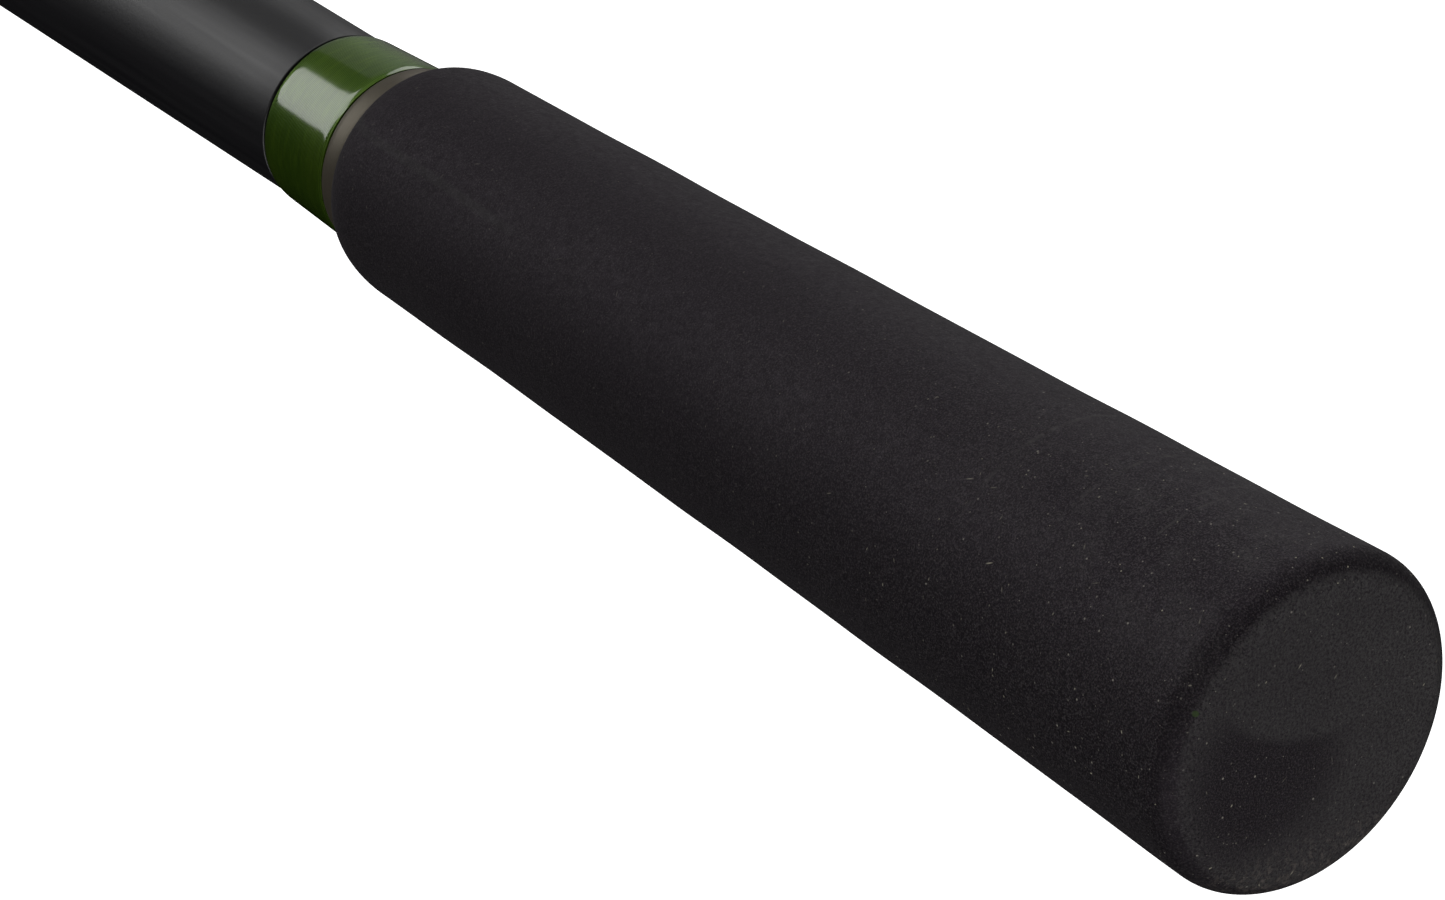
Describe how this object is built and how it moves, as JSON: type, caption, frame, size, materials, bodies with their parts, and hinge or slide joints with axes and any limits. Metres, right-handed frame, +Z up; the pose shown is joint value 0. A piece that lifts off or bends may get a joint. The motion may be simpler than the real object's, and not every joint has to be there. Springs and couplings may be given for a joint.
{
  "type": "spinning rod",
  "caption": "Spinning rod in two sections, with foam grips, a screw-lock reel seat, a hook keeper and line guides hanging below the blank.",
  "frame": {"origin": "centre of the flat of the butt face", "axes": "+X along the rod from the butt to the tip, +Z up with the reel seat's platform and the guides facing down (-Z), +Y to the left of someone who looks along the rod to the tip"},
  "size_m": [2.1, 0.0322, 0.07],
  "materials": {
    "foam": "black closed-cell foam, matt with a fine grain",
    "blank": "black lacquered fibre blank",
    "sleeve": "black satin sleeve",
    "winding": "green thread under clear lacquer",
    "check": "dark grey-brown moulded ring, semi-gloss",
    "seat": "black filled nylon, satin",
    "arbor": "rigid foam arbor",
    "frame_metal": "dark coated steel",
    "spring_steel": "plain spring steel",
    "trim_metal": "grey anodised aluminium",
    "ceramic": "polished black ceramic"
  },
  "bodies": {
    "butt_section": {"butt_grip": "foam", "butt_check_ring": "check", "butt_winding": "winding", "rear_handle_sleeve": "sleeve", "butt_blank": "blank", "mid_winding": "winding", "mid_check_ring": "check", "rear_seat_grip": "foam", "reel_seat_body": "seat", "rear_seat_arbor": "arbor", "front_seat_arbor": "arbor", "seat_check_ring": "check", "foregrip": "foam", "foregrip_check_ring": "check", "foregrip_winding": "winding", "hook_keeper_bracket": "frame_metal", "keeper_rear_winding": "winding", "keeper_front_winding": "winding", "stripper_guide_frame": "frame_metal", "stripper_guide_ring": "ceramic", "stripper_guide_rear_winding": "winding", "stripper_guide_front_winding": "winding"},
    "hood": {"sliding_hood": "seat", "hood_retaining_ring": "spring_steel"},
    "nut": {"locking_nut": "seat", "nut_trim_ring": "trim_metal"},
    "keeper_ring": {"hook_keeper_ring": "spring_steel"},
    "tip_section": {"ferrule_sleeve": "blank", "ferrule_winding": "winding", "tip_blank": "blank", "guide_2_frame": "frame_metal", "guide_2_ring": "ceramic", "guide_2_rear_winding": "winding", "guide_2_front_winding": "winding", "guide_3_frame": "frame_metal", "guide_3_ring": "ceramic", "guide_3_rear_winding": "winding", "guide_3_front_winding": "winding", "guide_4_frame": "frame_metal", "guide_4_ring": "ceramic", "guide_4_winding": "winding", "guide_5_frame": "frame_metal", "guide_5_ring": "ceramic", "guide_5_winding": "winding", "guide_6_frame": "frame_metal", "guide_6_ring": "ceramic", "guide_6_winding": "winding", "guide_7_frame": "frame_metal", "guide_7_ring": "ceramic", "guide_7_winding": "winding", "tip_top_frame": "frame_metal", "tip_top_ring": "ceramic", "tip_top_winding": "winding"}
  },
  "joints": [
    {"name": "hood_slide", "type": "slide", "parent": "butt_section", "child": "hood", "axis": [1, 0, 0], "range_m": [-0.008, 0.012]},
    {"name": "nut_turn", "type": "hinge", "parent": "hood", "child": "nut", "pos_m": [0.4984, 0, 0], "axis": [1, 0, 0], "range_deg": [-966, 1446]},
    {"name": "keeper_swing", "type": "hinge", "parent": "butt_section", "child": "keeper_ring", "pos_m": [0.658, 0, -0.00916], "axis": [0, 1, 0], "range_deg": [-75, 75]},
    {"name": "ferrule_pull", "type": "slide", "parent": "butt_section", "child": "tip_section", "axis": [1, 0, 0], "range_m": [0, 0.06]}
  ],
  "couplings": [
    {"joint": "nut_turn", "follows": "hood_slide", "rad_per_m": 2094.4}
  ]
}
